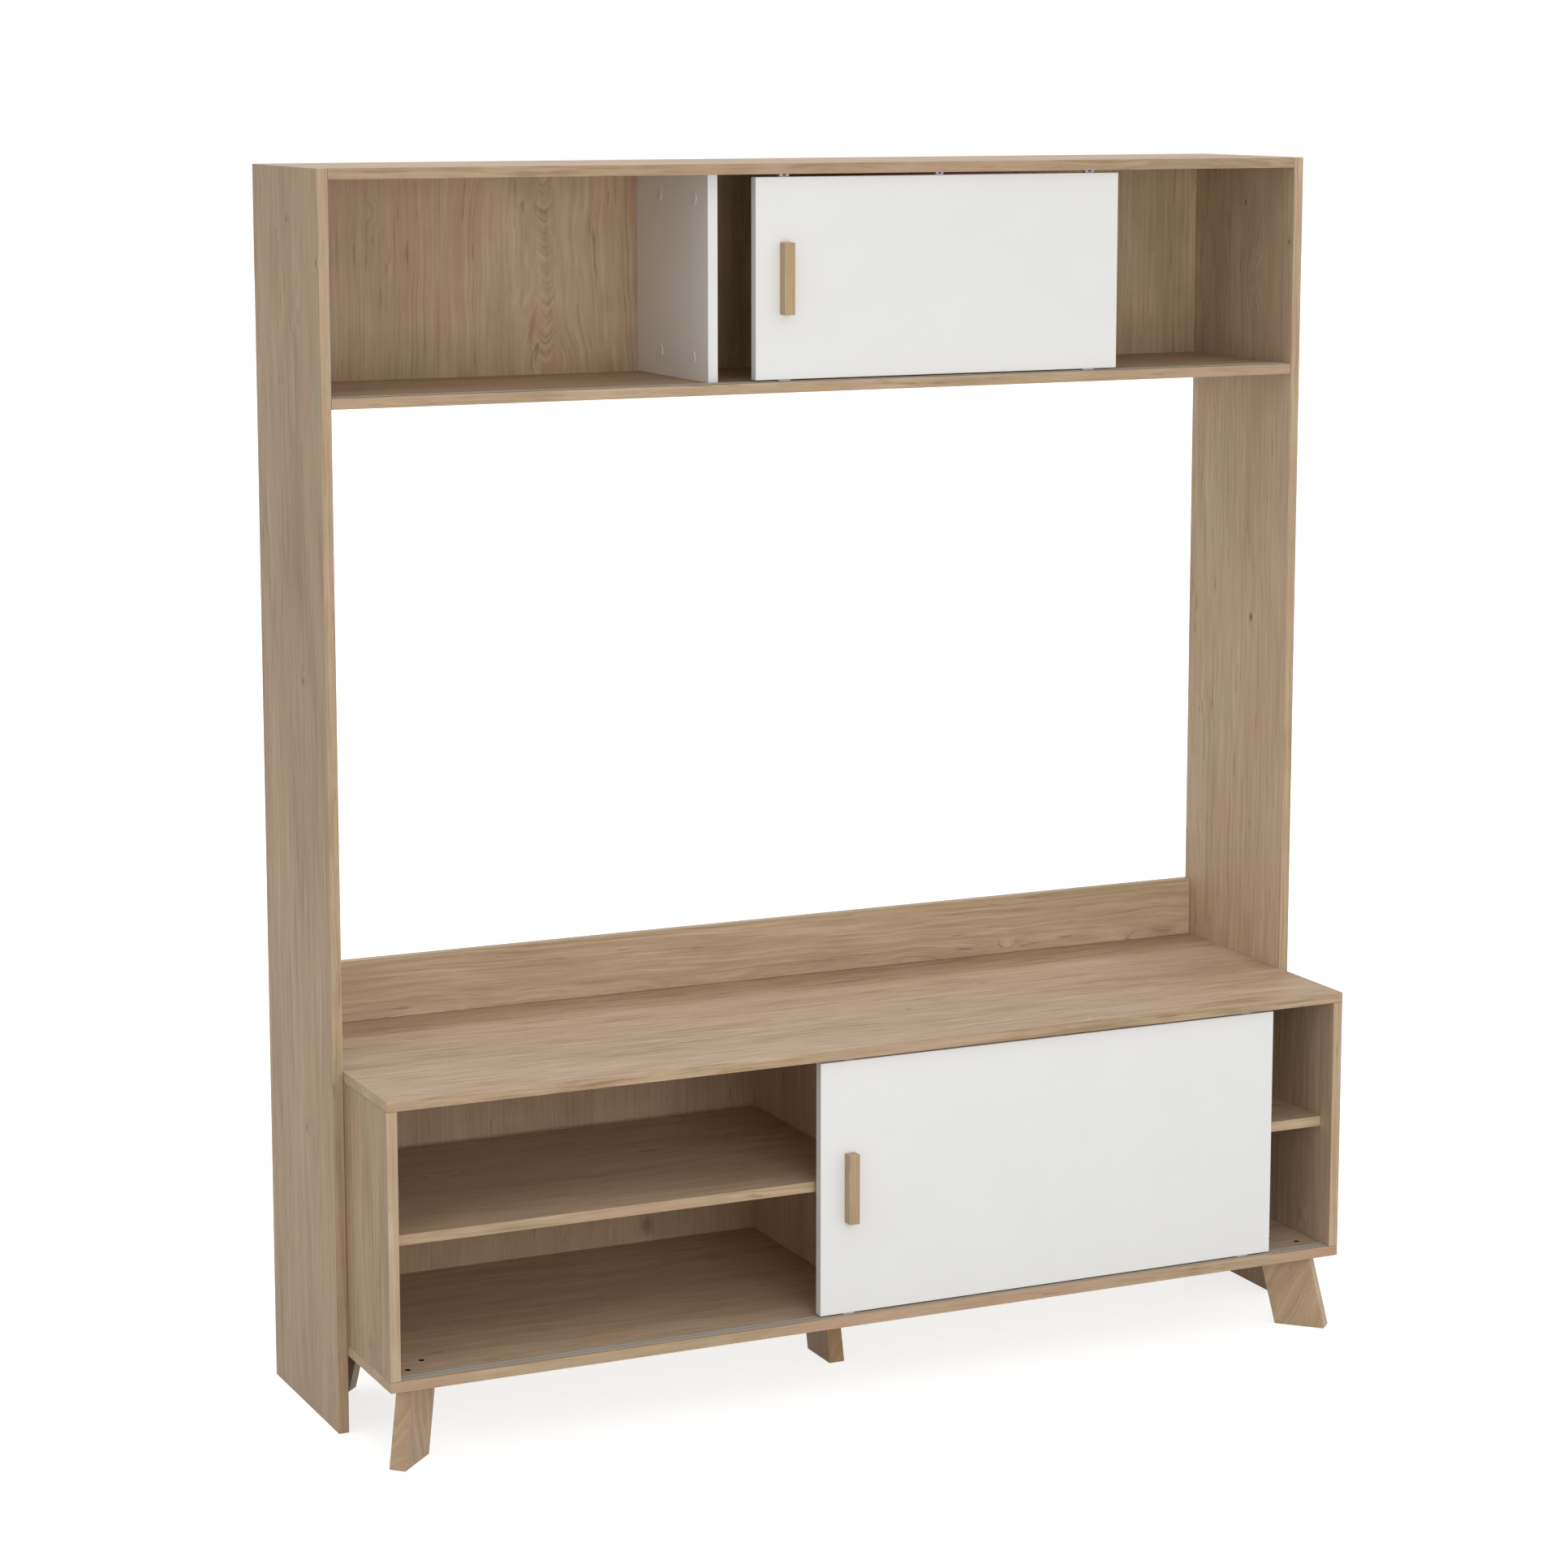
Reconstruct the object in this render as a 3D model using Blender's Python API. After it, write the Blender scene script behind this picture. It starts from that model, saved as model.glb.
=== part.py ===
"""A tv cabinet: a low bench on five short legs, an open niche above it and an upper row between uprights.

White sliding doors run in tracks, one in the bench and one in the upper row. Lengths are in metres,
X runs to the right, Y to the back and Z up from the floor. The origin is on the floor, under the
middle of the whole width and depth.
"""

import math

import bmesh
import bpy

# Overall sizes
WIDTH = 1.58
UPRIGHT_DEPTH = 0.292
BENCH_PROJECTION = 0.1838
LEG_HEIGHT = 0.1146
BENCH_BAY_HEIGHT = 0.3866
NICHE_HEIGHT = 0.9373
UPPER_ROW_HEIGHT = 0.2999

# Boards
BOARD = 0.0154
DOOR_BOARD = 0.0156
BACK_BOARD = 0.003
EDGE_ROUND = 0.0004
TOUCH_GAP = 0.0003
RAIL_HEIGHT = 0.092
UPPER_DIVIDER_OFFSET = 0.1878
SHELF_RISE = 0.1853
SHELF_END_GAP = 0.0005
SHELF_BACK_GAP = 0.0217

# Sliding doors, each at rest with a gap to the wall on its right
DOOR_SETBACK = 0.008
DOOR_BOTTOM_GAP = 0.0034
DOOR_TOP_GAP = 0.0042
DOOR_SHELF_GAP = 0.0074
DOOR_DIVIDER_GAP = 0.002
LOWER_DOOR_WIDTH = 0.765
LOWER_DOOR_END_GAP = 0.1035
UPPER_DOOR_WIDTH = 0.598
UPPER_DOOR_END_GAP = 0.3043

# Tracks: a low flanged one set into the board below each door, a channel let into the board above it
TRACK_WIDTH = 0.0152
TRACK_RISE = 0.0009
TRACK_DEPTH = 0.004
TRACK_WALL = 0.0012
TRACK_FLOOR = 0.0012
TRACK_GROOVE = 0.0066
CHANNEL_WIDTH = 0.0114
CHANNEL_DEPTH = 0.008
CHANNEL_WALL = 0.0012

# Glides: each has a peg in the door's edge
GLIDE_INSET = 0.047
GLIDE_BLOCK_LENGTH = 0.0185
GLIDE_BLOCK_WIDTH = 0.012
GLIDE_FORK_LENGTH = 0.0155
GLIDE_SLOT = 0.0045
GLIDE_BASE = 0.0012
GLIDE_REACH = 0.0045
MIDDLE_GLIDE_LENGTH = 0.012
MIDDLE_GLIDE_SLOT = 0.0035
PEG_RADIUS = 0.0025
PEG_LENGTH = 0.01

# Handles: square bars on the doors
HANDLE_BAR = 0.0168
HANDLE_LENGTH = 0.1045
HANDLE_INSET = 0.047
HANDLE_ROUND = 0.0012
HANDLE_SCREW_PITCH = 0.064
HANDLE_SCREW_HOLD = 0.0105

# Screws
SCREW_HEAD_RADIUS = 0.0036
SCREW_HEAD_HEIGHT = 0.0024
SCREW_SHANK_RADIUS = 0.0021
SCREW_TIP = 0.002
SCREW_SINK = 0.0006

# Legs: boards that lean outward, standing a little left of the middle
LEG_LENGTH = 0.0791
LEG_THICKNESS = 0.0242
LEG_CORNER = 0.003
LEG_SIDE_GAP = 0.0031
LEG_OFFSET = 0.0025
FRONT_LEG_REACH = 0.0038
REAR_LEG_INSET = 0.0505
MIDDLE_LEG_SETBACK = 0.1685
MIDDLE_LEG_OFFSET = 0.005
LEG_SCREW_PITCH = 0.0452
LEG_SCREW_INWARD = 0.0065
LEG_SCREW_ASIDE = 0.006
LEG_SCREW_HOLD = 0.018
LEG_SCREW_SINK = 0.005
LEG_LEAN = math.radians(13.7)
CORNER_TURN = math.radians(45)

# Shelf pins
PIN_RADIUS = 0.0025
PIN_BURIED = 0.006
PIN_SHOWN = 0.007
PIN_INSET = 0.05

# Modelling values
CUT_OVERRUN = 0.002
MERGE = 0.000001
ROUND_STEPS = 16
CORNER_STEPS = 4
CORNER_ARC_SHARE = 0.5
BOLD_CORNER_STEPS = 2
SMOOTH_ANGLE = math.radians(35)

# Places that follow from the sizes: heights
BENCH_BOTTOM_TOP_Z = LEG_HEIGHT + BOARD
BENCH_TOP_UNDERSIDE_Z = BENCH_BOTTOM_TOP_Z + BENCH_BAY_HEIGHT
BENCH_TOP_Z = BENCH_TOP_UNDERSIDE_Z + BOARD
UPPER_SHELF_UNDERSIDE_Z = BENCH_TOP_Z + NICHE_HEIGHT
UPPER_SHELF_TOP_Z = UPPER_SHELF_UNDERSIDE_Z + BOARD
TOP_PANEL_UNDERSIDE_Z = UPPER_SHELF_TOP_Z + UPPER_ROW_HEIGHT
HEIGHT = TOP_PANEL_UNDERSIDE_Z + BOARD
SHELF_UNDERSIDE_Z = BENCH_BOTTOM_TOP_Z + SHELF_RISE

# Widths, measured from the middle
UPRIGHT_INNER_X = WIDTH / 2 - BOARD
SPAN_X = UPRIGHT_INNER_X - TOUCH_GAP
BENCH_INNER_X = SPAN_X - BOARD
UPPER_DIVIDER_LEFT_X = -UPPER_DIVIDER_OFFSET - BOARD / 2

# Depths: the handle's front and the uprights' rear edges lie equally far from the origin
HANDLE_REACH = HANDLE_BAR + TOUCH_GAP - DOOR_SETBACK
UPRIGHT_FRONT_Y = (BENCH_PROJECTION + HANDLE_REACH - UPRIGHT_DEPTH) / 2
REAR_Y = UPRIGHT_FRONT_Y + UPRIGHT_DEPTH
BENCH_FRONT_Y = UPRIGHT_FRONT_Y - BENCH_PROJECTION
PANEL_REAR_Y = REAR_Y - BACK_BOARD - TOUCH_GAP
DOOR_MIDDLE = DOOR_SETBACK + DOOR_BOARD / 2
TRACK_KEEL = TRACK_GROOVE + 2 * TRACK_WALL
SHELF_FRONT_Y = BENCH_FRONT_Y + DOOR_SETBACK + DOOR_BOARD + DOOR_SHELF_GAP
SHELF_REAR_Y = PANEL_REAR_Y - SHELF_BACK_GAP
UPPER_DIVIDER_FRONT_Y = UPRIGHT_FRONT_Y + DOOR_SETBACK + DOOR_BOARD + DOOR_DIVIDER_GAP


def clear_scene():
    """Start from an empty scene."""
    for thing in list(bpy.data.objects):
        bpy.data.objects.remove(thing, do_unlink=True)


def finish(name, colour, roughness, metallic=0.0):
    """A plain Principled material."""
    material = bpy.data.materials.new(name)
    material.use_nodes = True
    shader = material.node_tree.nodes["Principled BSDF"]
    shader.inputs["Base Color"].default_value = (*colour, 1.0)
    shader.inputs["Roughness"].default_value = roughness
    shader.inputs["Metallic"].default_value = metallic
    material.diffuse_color = (*colour, 1.0)
    return material


def box(size_x, size_y, size_z):
    """A block centred on its origin."""
    shape = bmesh.new()
    bmesh.ops.create_cube(shape, size=1.0)
    bmesh.ops.scale(shape, vec=(size_x, size_y, size_z), verts=shape.verts)
    return shape


def prism(outline, length):
    """An outline of (x, z) points, extruded along Y and centred there."""
    shape = bmesh.new()
    face = shape.faces.new([shape.verts.new((x, -length / 2, z)) for x, z in outline])
    grown = bmesh.ops.extrude_face_region(shape, geom=[face])
    far_side = [item for item in grown["geom"] if isinstance(item, bmesh.types.BMVert)]
    bmesh.ops.translate(shape, vec=(0.0, length, 0.0), verts=far_side)
    bmesh.ops.recalc_face_normals(shape, faces=shape.faces)
    return shape


def turned(profile):
    """A body turned about Z from (radius, height) points."""
    shape = bmesh.new()
    points = [shape.verts.new((radius, 0.0, height)) for radius, height in profile]
    lines = [shape.edges.new(pair) for pair in zip(points, points[1:])]
    bmesh.ops.spin(
        shape,
        geom=points + lines,
        cent=(0.0, 0.0, 0.0),
        axis=(0.0, 0.0, 1.0),
        angle=2 * math.pi,
        steps=ROUND_STEPS,
        use_merge=True,
    )
    bmesh.ops.remove_doubles(shape, verts=shape.verts, dist=MERGE)
    bmesh.ops.recalc_face_normals(shape, faces=shape.faces)
    return shape


def rod(radius, low, high):
    """A plain cylinder along Z."""
    return turned([(0.0, high), (radius, high), (radius, low), (0.0, low)])


def screw(head_top, tip):
    """A screw with a flat round head, its tip pointing down."""
    seat = head_top - SCREW_HEAD_HEIGHT
    return turned(
        [
            (0.0, head_top),
            (SCREW_HEAD_RADIUS, head_top),
            (SCREW_HEAD_RADIUS, seat),
            (SCREW_SHANK_RADIUS, seat),
            (SCREW_SHANK_RADIUS, tip + SCREW_TIP),
            (0.0, tip),
        ]
    )


def screw_hole(head_top, tip, mouth):
    """The stepped hole of that screw, open up to the mouth."""
    seat = head_top - SCREW_HEAD_HEIGHT - TOUCH_GAP
    return turned(
        [
            (0.0, mouth),
            (SCREW_HEAD_RADIUS + TOUCH_GAP, mouth),
            (SCREW_HEAD_RADIUS + TOUCH_GAP, seat),
            (SCREW_SHANK_RADIUS + TOUCH_GAP, seat),
            (SCREW_SHANK_RADIUS + TOUCH_GAP, tip - TOUCH_GAP),
            (0.0, tip - TOUCH_GAP),
        ]
    )


def add(name, shape, material, place, turn=(0.0, 0.0, 0.0), carrier=None):
    """Put a shape in the scene as one named object, kept in place under its carrier."""
    mesh = bpy.data.meshes.new(name)
    shape.to_mesh(mesh)
    shape.free()
    thing = bpy.data.objects.new(name, mesh)
    if material:
        mesh.materials.append(material)
    thing.rotation_euler = turn
    thing.location = place
    if carrier:
        thing.parent = carrier
        thing.location = [here - there for here, there in zip(place, carrier.location)]
    bpy.context.scene.collection.objects.link(thing)
    return thing


def round_edges(thing, width, steps=1):
    """Ease an object's sharp edges."""
    bevel = thing.modifiers.new("eased_edges", "BEVEL")
    bevel.width = width
    bevel.segments = steps
    bevel.limit_method = "ANGLE"
    bevel.harden_normals = False


def shade_round(thing):
    """Smooth shading on the round faces, with sharp rims."""
    thing.data.shade_smooth()
    thing.data.set_sharp_from_angle(angle=SMOOTH_ANGLE)


def board(name, x, y, z, material, carrier=None):
    """A board between the given limits, with slightly eased edges."""
    limits = (x, y, z)
    sizes = [high - low for low, high in limits]
    middle = [(low + high) / 2 for low, high in limits]
    thing = add(name, box(*sizes), material, middle, carrier=carrier)
    round_edges(thing, EDGE_ROUND)
    return thing


def tool(name, shape, place, turn=(0.0, 0.0, 0.0), carrier=None):
    """A hidden body for a Boolean."""
    thing = add(name, shape, None, place, turn, carrier)
    thing.hide_render = True
    thing.display_type = "WIRE"
    return thing


def combine(target, other, operation):
    """Cut a hidden body from an object, or unite it with the object."""
    change = target.modifiers.new(other.name, "BOOLEAN")
    change.operation = operation
    change.solver = "EXACT"
    change.object = other


def build_uprights(decor):
    """The two full-height side boards that reach the floor."""
    depth = (UPRIGHT_FRONT_Y, REAR_Y)
    board("left_upright", (-WIDTH / 2, -UPRIGHT_INNER_X), depth, (0.0, HEIGHT), decor)
    board("right_upright", (UPRIGHT_INNER_X, WIDTH / 2), depth, (0.0, HEIGHT), decor)


def build_upper_row(decor, white, back):
    """The upper row: its top, its shelf, the white divider and the thin back."""
    across = (-SPAN_X, SPAN_X)
    depth = (UPRIGHT_FRONT_Y, PANEL_REAR_Y)
    top_panel = board("upper_top_panel", across, depth, (TOP_PANEL_UNDERSIDE_Z, HEIGHT), decor)
    shelf = board("upper_shelf", across, depth, (UPPER_SHELF_UNDERSIDE_Z, UPPER_SHELF_TOP_Z), decor)
    board(
        "upper_divider",
        (UPPER_DIVIDER_LEFT_X, UPPER_DIVIDER_LEFT_X + BOARD),
        (UPPER_DIVIDER_FRONT_Y, PANEL_REAR_Y),
        (UPPER_SHELF_TOP_Z + TOUCH_GAP, TOP_PANEL_UNDERSIDE_Z - TOUCH_GAP),
        white,
    )
    board("upper_back_panel", across, (REAR_Y - BACK_BOARD, REAR_Y), (UPPER_SHELF_UNDERSIDE_Z, HEIGHT), back)
    return shelf, top_panel


def build_rail(decor):
    """The low board that stands at the back of the bench top."""
    depth = (REAR_Y - BOARD, REAR_Y)
    foot = BENCH_TOP_Z + TOUCH_GAP
    board("back_rail", (-SPAN_X, SPAN_X), depth, (foot, foot + RAIL_HEIGHT), decor)


def build_bench(decor, back):
    """The bench: top, bottom, sides, middle wall, two inner shelves and the thin back."""
    across = (-SPAN_X, SPAN_X)
    depth = (BENCH_FRONT_Y, PANEL_REAR_Y)
    between = (BENCH_BOTTOM_TOP_Z + TOUCH_GAP, BENCH_TOP_UNDERSIDE_Z - TOUCH_GAP)
    inner_depth = (SHELF_FRONT_Y, PANEL_REAR_Y)
    pieces = {
        "top": board("bench_top", across, depth, (BENCH_TOP_UNDERSIDE_Z, BENCH_TOP_Z), decor),
        "bottom": board("bench_bottom", across, depth, (LEG_HEIGHT, BENCH_BOTTOM_TOP_Z), decor),
        "left": board("bench_left_side", (-SPAN_X, -BENCH_INNER_X), depth, between, decor),
        "right": board("bench_right_side", (BENCH_INNER_X, SPAN_X), depth, between, decor),
        "divider": board("bench_divider", (-BOARD / 2, BOARD / 2), inner_depth, between, decor),
    }
    shelf_limits = (BOARD / 2 + SHELF_END_GAP, BENCH_INNER_X - SHELF_END_GAP)
    shelf_height = (SHELF_UNDERSIDE_Z, SHELF_UNDERSIDE_Z + BOARD)
    for name, side in (("shelf_left", -1), ("shelf_right", 1)):
        across_bay = sorted(side * limit for limit in shelf_limits)
        board(name, across_bay, (SHELF_FRONT_Y, SHELF_REAR_Y), shelf_height, decor)
    board("bench_back_panel", across, (REAR_Y - BACK_BOARD, REAR_Y), (LEG_HEIGHT, BENCH_TOP_Z), back)
    return pieces


def build_shelf_pins(bench, steel):
    """Four pins under each inner shelf, in blind holes of the walls beside it."""
    height = SHELF_UNDERSIDE_Z - TOUCH_GAP - PIN_RADIUS
    depths = {"front": SHELF_FRONT_Y + PIN_INSET, "rear": SHELF_REAR_Y - PIN_INSET}
    walls = (
        ("left_outer", bench["left"], -BENCH_INNER_X, 1),
        ("left_inner", bench["divider"], -BOARD / 2, -1),
        ("right_inner", bench["divider"], BOARD / 2, 1),
        ("right_outer", bench["right"], BENCH_INNER_X, -1),
    )
    for wall_name, wall, face_x, outward in walls:
        for depth_name, depth in depths.items():
            name = f"shelf_pin_{wall_name}_{depth_name}"
            turn = (0.0, outward * math.pi / 2, 0.0)
            place = (face_x, depth, height)
            pin = add(name, rod(PIN_RADIUS, -PIN_BURIED, PIN_SHOWN), steel, place, turn)
            shade_round(pin)
            hole = rod(PIN_RADIUS + TOUCH_GAP, -PIN_BURIED - TOUCH_GAP, CUT_OVERRUN)
            combine(wall, tool(f"hole_{name}", hole, place, turn), "DIFFERENCE")


def low_track_outline():
    """The bottom track's section: two low flanges at zero height, and a grooved keel below them."""
    lip = TRACK_WIDTH / 2
    keel = TRACK_KEEL / 2
    groove = TRACK_GROOVE / 2
    return [
        (-keel, -TRACK_DEPTH),
        (keel, -TRACK_DEPTH),
        (keel, 0.0),
        (lip, 0.0),
        (lip, TRACK_RISE),
        (groove, TRACK_RISE),
        (groove, TRACK_FLOOR - TRACK_DEPTH),
        (-groove, TRACK_FLOOR - TRACK_DEPTH),
        (-groove, TRACK_RISE),
        (-lip, TRACK_RISE),
        (-lip, 0.0),
        (-keel, 0.0),
    ]


def channel_outline():
    """The upper channel's section, open downward, with its lips at zero height."""
    outer = CHANNEL_WIDTH / 2
    inner = outer - CHANNEL_WALL
    ceiling = CHANNEL_DEPTH - CHANNEL_WALL
    return [
        (-outer, 0.0),
        (-inner, 0.0),
        (-inner, ceiling),
        (inner, ceiling),
        (inner, 0.0),
        (outer, 0.0),
        (outer, CHANNEL_DEPTH),
        (-outer, CHANNEL_DEPTH),
    ]


def cut_groove(name, target, length, width, middle_y, low, high):
    """A groove for a track, cut along a board with a little room round the track."""
    shape = box(length + 2 * TOUCH_GAP, width + 2 * TOUCH_GAP, high - low)
    combine(target, tool(name, shape, (0.0, middle_y, (low + high) / 2)), "DIFFERENCE")


def build_tracks(row, front_y, half_span, floor_z, ceiling_z, floor_board, ceiling_board, plastic):
    """A row's flanged track in a groove of its floor and its channel in a groove under its top."""
    middle_y = front_y + DOOR_MIDDLE
    length = 2 * half_span
    along = (0.0, 0.0, math.pi / 2)
    low_place = (0.0, middle_y, floor_z + TOUCH_GAP)
    add(f"{row}_track_bottom", prism(low_track_outline(), length), plastic, low_place, along)
    add(f"{row}_track_top", prism(channel_outline(), length), plastic, (0.0, middle_y, ceiling_z), along)
    floor_cut = (floor_z - TRACK_DEPTH, floor_z + CUT_OVERRUN)
    cut_groove(f"groove_{row}_floor", floor_board, length, TRACK_KEEL, middle_y, *floor_cut)
    ceiling_cut = (ceiling_z - CUT_OVERRUN, ceiling_z + CHANNEL_DEPTH + TOUCH_GAP)
    cut_groove(f"groove_{row}_ceiling", ceiling_board, length, CHANNEL_WIDTH, middle_y, *ceiling_cut)


def slotted_glide(length, slot):
    """A glide's body above the door: a base with two prongs, standing up in the channel."""
    half = length / 2
    gap = slot / 2
    prong_top = DOOR_TOP_GAP + GLIDE_REACH
    outline = [
        (-half, TOUCH_GAP),
        (half, TOUCH_GAP),
        (half, prong_top),
        (gap, prong_top),
        (gap, TOUCH_GAP + GLIDE_BASE),
        (-gap, TOUCH_GAP + GLIDE_BASE),
        (-gap, prong_top),
        (-half, prong_top),
    ]
    return prism(outline, CHANNEL_WIDTH - 2 * CHANNEL_WALL - 2 * TOUCH_GAP)


def runner_glide():
    """A glide's body below the door: a block over the flanges and a fin in the groove."""
    block = GLIDE_BLOCK_WIDTH / 2
    fin = TRACK_GROOVE / 2 - TOUCH_GAP
    block_low = TRACK_RISE - DOOR_BOTTOM_GAP + 2 * TOUCH_GAP
    fin_low = TRACK_FLOOR - TRACK_DEPTH - DOOR_BOTTOM_GAP + 2 * TOUCH_GAP
    outline = [
        (-block, -TOUCH_GAP),
        (block, -TOUCH_GAP),
        (block, block_low),
        (fin, block_low),
        (fin, fin_low),
        (-fin, fin_low),
        (-fin, block_low),
        (-block, block_low),
    ]
    return prism(outline, GLIDE_BLOCK_LENGTH)


def add_glide(name, body, place, upward, turn, door, plastic):
    """A glide on a door's edge: its body outside, its peg in the edge."""
    carrier = door.parent
    glide = add(name, body, plastic, place, (0.0, 0.0, turn), carrier)
    peg_low, peg_high = sorted((-upward * PEG_LENGTH, upward * (TOUCH_GAP + GLIDE_BASE / 2)))
    peg = tool(f"peg_{name}", rod(PEG_RADIUS, peg_low, peg_high), place, carrier=carrier)
    combine(glide, peg, "UNION")
    hole_low, hole_high = sorted((-upward * (PEG_LENGTH + TOUCH_GAP), upward * CUT_OVERRUN))
    hole = tool(f"hole_{name}", rod(PEG_RADIUS + TOUCH_GAP, hole_low, hole_high), place, carrier=carrier)
    combine(door, hole, "DIFFERENCE")


def add_glides(row, door, half_width, middle, height, has_middle, plastic):
    """The door's glides: forked ones on its top edge, runners under its bottom edge."""
    x, y, z = middle
    reach = half_width - GLIDE_INSET
    along = math.pi / 2
    for side, place_x in (("left", x - reach), ("right", x + reach)):
        fork = slotted_glide(GLIDE_FORK_LENGTH, GLIDE_SLOT)
        add_glide(f"{row}_glide_top_{side}", fork, (place_x, y, z + height / 2), 1, 0.0, door, plastic)
        runner_place = (place_x, y, z - height / 2)
        add_glide(f"{row}_glide_bottom_{side}", runner_glide(), runner_place, -1, along, door, plastic)
    if has_middle:
        fork = slotted_glide(MIDDLE_GLIDE_LENGTH, MIDDLE_GLIDE_SLOT)
        add_glide(f"{row}_glide_top_middle", fork, (x, y, z + height / 2), 1, 0.0, door, plastic)


def add_handle(row, door, place, wood, steel):
    """A square bar standing on the door's front, held by two screws from behind the door."""
    carrier = door.parent
    x, front_y, z = place
    bar_y = front_y - TOUCH_GAP - HANDLE_BAR / 2
    bar = add(
        f"{row}_handle", box(HANDLE_BAR, HANDLE_BAR, HANDLE_LENGTH), wood, (x, bar_y, z), carrier=carrier
    )
    round_edges(bar, HANDLE_ROUND, BOLD_CORNER_STEPS)
    rear_y = front_y + DOOR_BOARD
    head_top = -SCREW_SINK
    tip = -DOOR_BOARD - TOUCH_GAP - HANDLE_SCREW_HOLD
    forward = (-math.pi / 2, 0.0, 0.0)
    for level, shift in (("upper", HANDLE_SCREW_PITCH / 2), ("lower", -HANDLE_SCREW_PITCH / 2)):
        name = f"{row}_handle_screw_{level}"
        screw_place = (x, rear_y, z + shift)
        fastener = add(name, screw(head_top, tip), steel, screw_place, forward, carrier)
        shade_round(fastener)
        hole = tool(f"hole_{name}", screw_hole(head_top, tip, CUT_OVERRUN), screw_place, forward, carrier)
        combine(door, hole, "DIFFERENCE")
        combine(bar, hole, "DIFFERENCE")


def build_door(row, middle_x, width, front_y, floor_z, bay_height, has_middle_glide, finishes):
    """A sliding door with its glides and handle, carried by an empty on its slide's axis."""
    door_front = front_y + DOOR_SETBACK
    height = bay_height - DOOR_BOTTOM_GAP - DOOR_TOP_GAP
    middle = (middle_x, front_y + DOOR_MIDDLE, floor_z + DOOR_BOTTOM_GAP + height / 2)
    slide = bpy.data.objects.new(f"{row}_door_slide", None)
    slide.location = middle
    bpy.context.scene.collection.objects.link(slide)
    door = board(
        f"{row}_door",
        (middle_x - width / 2, middle_x + width / 2),
        (door_front, door_front + DOOR_BOARD),
        (middle[2] - height / 2, middle[2] + height / 2),
        finishes["white"],
        slide,
    )
    add_glides(row, door, width / 2, middle, height, has_middle_glide, finishes["glide"])
    handle_place = (middle_x - width / 2 + HANDLE_INSET, door_front, middle[2])
    add_handle(row, door, handle_place, finishes["handle"], finishes["steel"])


def leg_shape():
    """A leg board that leans toward +X at the floor, with one small round at that corner."""
    half = LEG_LENGTH / 2
    height = LEG_HEIGHT - TOUCH_GAP
    lean = height * math.tan(LEG_LEAN)
    outline = [(-half, 0.0), (half, 0.0), (half - lean, height), (-half - lean, height)]
    shape = prism(outline, LEG_THICKNESS)
    tip = [
        edge
        for edge in shape.edges
        if all(vertex.co.x > half - MERGE and vertex.co.z < MERGE for vertex in edge.verts)
    ]
    bmesh.ops.bevel(
        shape,
        geom=tip,
        offset=LEG_CORNER,
        segments=CORNER_STEPS,
        profile=CORNER_ARC_SHARE,
        affect="EDGES",
    )
    return shape


def add_leg(name, x, y, turn, aside, bench_bottom, wood, steel):
    """A leg with its floor outline centred at x and y, and its two screws from above.

    The screws stand inward of the leg's middle, and a little aside of its middle plane.
    """
    leg = add(f"{name}_leg", leg_shape(), wood, (x, y, 0.0), (0.0, 0.0, turn))
    round_edges(leg, EDGE_ROUND)
    lean = LEG_HEIGHT * math.tan(LEG_LEAN)
    head_top = -LEG_SCREW_SINK
    tip = -BOARD - TOUCH_GAP - LEG_SCREW_HOLD
    for level, along in (("outer", LEG_SCREW_PITCH / 2), ("inner", -LEG_SCREW_PITCH / 2)):
        reach = along - lean - LEG_SCREW_INWARD
        place = (
            x + reach * math.cos(turn) - aside * math.sin(turn),
            y + reach * math.sin(turn) + aside * math.cos(turn),
            BENCH_BOTTOM_TOP_Z,
        )
        screw_name = f"{name}_leg_screw_{level}"
        shade_round(add(screw_name, screw(head_top, tip), steel, place))
        hole = tool(f"hole_{screw_name}", screw_hole(head_top, tip, CUT_OVERRUN), place)
        combine(bench_bottom, hole, "DIFFERENCE")
        combine(leg, hole, "DIFFERENCE")


def build_legs(bench_bottom, wood, steel):
    """Four legs lean out along the corners' diagonals, and a middle one leans forward."""
    corner_reach = (LEG_LENGTH + LEG_THICKNESS) / 2 * math.sin(CORNER_TURN)
    leg_x = UPRIGHT_INNER_X - LEG_SIDE_GAP - corner_reach
    front_y = BENCH_FRONT_Y - FRONT_LEG_REACH + corner_reach
    rear_y = REAR_Y - REAR_LEG_INSET - corner_reach
    for side_name, side in (("left", -1), ("right", 1)):
        for end_name, end, leg_y in (("front", -1, front_y), ("rear", 1, rear_y)):
            turn = math.atan2(end * math.sin(CORNER_TURN), side * math.cos(CORNER_TURN))
            name = f"{end_name}_{side_name}"
            place_x = side * leg_x - LEG_OFFSET
            aside = side * LEG_SCREW_ASIDE
            add_leg(name, place_x, leg_y, turn, aside, bench_bottom, wood, steel)
    middle_y = BENCH_FRONT_Y + MIDDLE_LEG_SETBACK + LEG_LENGTH / 2
    add_leg("middle", -MIDDLE_LEG_OFFSET, middle_y, -math.pi / 2, 0.0, bench_bottom, wood, steel)


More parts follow.
